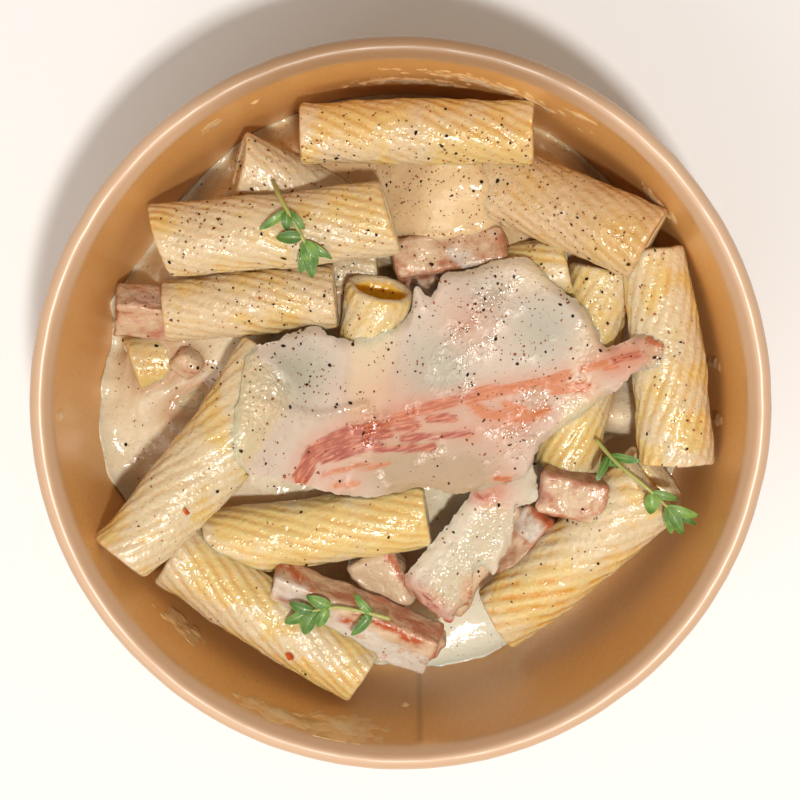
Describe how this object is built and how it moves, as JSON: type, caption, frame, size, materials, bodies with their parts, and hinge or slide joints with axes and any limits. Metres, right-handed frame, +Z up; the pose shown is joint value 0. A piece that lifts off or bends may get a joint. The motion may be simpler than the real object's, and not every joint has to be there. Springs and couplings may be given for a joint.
{
  "type": "bowl of rigatoni carbonara",
  "caption": "Round kraft paper takeaway bowl filled with ridged pasta tubes in cream sauce, bacon pieces, a thin cured slice draped on top, and thyme sprigs.",
  "frame": {"origin": "centre of the bowl's standing ring, in the plane it stands on", "axes": "+Z up through the bowl's open top; +Y towards the back of the dish, where the long rigatone lies along the wall; +X to the right"},
  "size_m": [0.15, 0.15, 0.06],
  "materials": {
    "kraft_paper": "satin coated kraft paper",
    "cream_sauce": "wet cream sauce",
    "pasta": "wet cooked pasta",
    "bacon": "moist cooked bacon",
    "bacon_browned": "browned bacon",
    "cured_fat": "wet translucent cured slice",
    "thyme": "fresh leaf"
  },
  "bodies": {
    "root": {"bowl": "kraft_paper", "sauce": "cream_sauce", "rigatone_left_wall": "pasta", "rigatone_back_right": "pasta", "rigatone_back": "pasta", "rigatone_left_upper": "pasta", "rigatone_right_wall": "pasta", "rigatone_left_middle": "pasta", "rigatone_front_middle": "pasta", "rigatone_front_left": "pasta", "rigatone_front_right": "pasta", "rigatone_centre": "pasta", "rigatone_right_inner": "pasta", "rigatone_under_slice": "pasta", "rigatone_left_low": "pasta", "rigatone_back_left": "pasta", "rigatone_left_sunk": "pasta", "rigatone_left_deep": "pasta", "bacon_front": "bacon", "bacon_right": "bacon", "bacon_coated": "bacon", "bacon_front_inner": "bacon", "bacon_between": "bacon", "bacon_front_tip": "bacon", "bacon_back": "bacon", "bacon_left": "bacon", "bacon_dark": "bacon_browned", "bacon_small": "bacon", "cured_slice": "cured_fat", "thyme_back_left": "thyme", "thyme_right": "thyme", "thyme_front": "thyme"}
  },
  "joints": []
}
